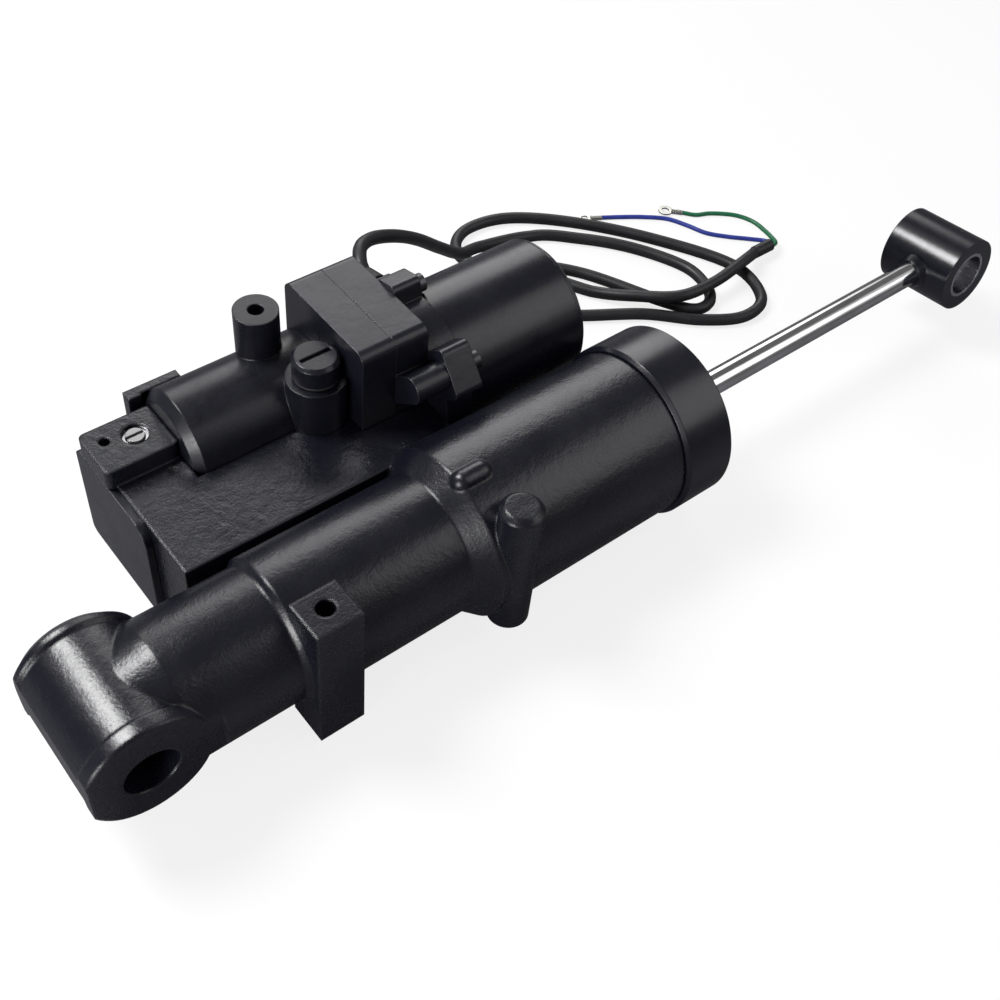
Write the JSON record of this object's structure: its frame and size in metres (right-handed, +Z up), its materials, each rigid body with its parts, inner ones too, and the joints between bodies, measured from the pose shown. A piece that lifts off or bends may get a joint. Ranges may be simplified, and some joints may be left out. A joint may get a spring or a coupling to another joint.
{
  "type": "power trim and tilt unit",
  "caption": "Hydraulic tilt ram with its reservoir, gear pump, valve block and electric motor in one casting, lying on its side with its cable in loops.",
  "frame": {"origin": "centre of the lower pivot bore", "axes": "+X along the ram from the lower pivot to the rod eye, +Y from the ram to the pump side, +Z up from the table that the unit lies on"},
  "size_m": [0.533, 0.2417, 0.1029],
  "materials": {
    "black_paint": "semi-gloss black paint over cast aluminium",
    "painted_steel": "semi-gloss black paint over steel",
    "bare_steel": "ground steel",
    "cast_alloy": "machined cast aluminium",
    "black_rubber": "dull black rubber",
    "seal": "smooth seal rubber",
    "bronze": "sintered bronze",
    "copper": "hard copper",
    "magnet": "sintered magnet and carbon",
    "resin": "brown phenolic board",
    "black_plastic": "moulded black plastic",
    "sheath": "black cable sheath",
    "blue": "blue lead insulation",
    "green": "green lead insulation",
    "plated": "tinned copper"
  },
  "bodies": {
    "housing": {"cylinder_body": "black_paint", "cylinder_end_cap": "painted_steel", "end_cap_oring": "black_rubber", "rod_wiper_seal": "black_rubber", "rod_seal": "seal", "rod_guide_bush": "bronze", "end_cover": "black_paint", "end_cover_gasket": "black_rubber", "release_valve_circlip": "bare_steel", "reservoir": "black_plastic", "reservoir_oring": "black_rubber", "suction_filter": "bare_steel", "filler_plug": "black_plastic", "filler_plug_oring": "black_rubber", "pump_housing": "black_paint", "pump_adapter": "black_paint", "motor_shaft_seal": "seal", "main_check_seats": "bare_steel", "main_check_balls": "bare_steel", "main_check_springs": "bare_steel", "relief_valve_seat": "bare_steel", "relief_valve_ball": "bare_steel", "relief_valve_spring": "bare_steel", "relief_valve_plug": "bare_steel", "pump_screws": "bare_steel", "motor_flange": "black_paint", "motor_screws": "bare_steel", "motor_can": "painted_steel", "motor_end_cap": "painted_steel", "motor_magnets": "magnet", "brush_holder": "resin", "brushes": "magnet", "brush_springs": "bare_steel", "front_bearing": "bare_steel", "rear_bearing": "bare_steel", "cable_gland": "black_rubber", "cable": "sheath", "sheath_end_sleeve": "sheath", "blue_lead": "blue", "green_lead": "green", "ring_terminals": "plated"},
    "ram_slider": {"piston_seal_ring": "seal"},
    "ram": {"piston_rod": "bare_steel", "rod_eye": "painted_steel", "rod_eye_bush": "bare_steel", "tilt_piston": "cast_alloy", "piston_nut": "bare_steel", "spring_plate": "bare_steel", "shock_valve_balls": "bare_steel", "shock_valve_springs": "bare_steel"},
    "floating_piston": {"free_piston": "cast_alloy", "free_piston_oring": "black_rubber"},
    "shuttle": {"shuttle_piston": "bare_steel"},
    "release_ring": {"release_valve_oring": "black_rubber"},
    "release_valve": {"manual_release_valve": "bare_steel"},
    "motor_rotor": {"armature": "magnet", "commutator": "copper", "drive_coupling": "bare_steel", "drive_gear": "bare_steel"},
    "idler": {"driven_gear": "bare_steel"}
  },
  "joints": [
    {"name": "ram_slide", "type": "slide", "parent": "housing", "child": "ram_slider", "axis": [1, 0, 0], "range_m": [-0.14, 0.0037]},
    {"name": "ram_turn", "type": "hinge", "parent": "ram_slider", "child": "ram", "pos_m": [0, 0, 0], "axis": [1, 0, 0], "continuous": true},
    {"name": "free_piston_slide", "type": "slide", "parent": "housing", "child": "floating_piston", "axis": [1, 0, 0], "range_m": [-0.14, 0.0037]},
    {"name": "shuttle_slide", "type": "slide", "parent": "housing", "child": "shuttle", "axis": [1, 0, 0], "range_m": [-0.0015, 0.0015]},
    {"name": "release_valve_rise", "type": "slide", "parent": "housing", "child": "release_ring", "axis": [0, 0, 1], "range_m": [0, 0.0024]},
    {"name": "release_valve_turn", "type": "hinge", "parent": "release_ring", "child": "release_valve", "pos_m": [0.067, 0.102, 0], "axis": [0, 0, 1], "range_deg": [0, 1080]},
    {"name": "motor_turn", "type": "hinge", "parent": "housing", "child": "motor_rotor", "pos_m": [0, 0.078, 0.015], "axis": [1, 0, 0], "continuous": true},
    {"name": "driven_gear_turn", "type": "hinge", "parent": "housing", "child": "idler", "pos_m": [0, 0.0931, 0.015], "axis": [1, 0, 0], "continuous": true}
  ],
  "couplings": [
    {"joint": "free_piston_slide", "follows": "ram_slide", "ratio": 1},
    {"joint": "release_valve_rise", "follows": "release_valve_turn", "m_per_rad": 0.00012732},
    {"joint": "driven_gear_turn", "follows": "motor_turn", "ratio": -1}
  ]
}
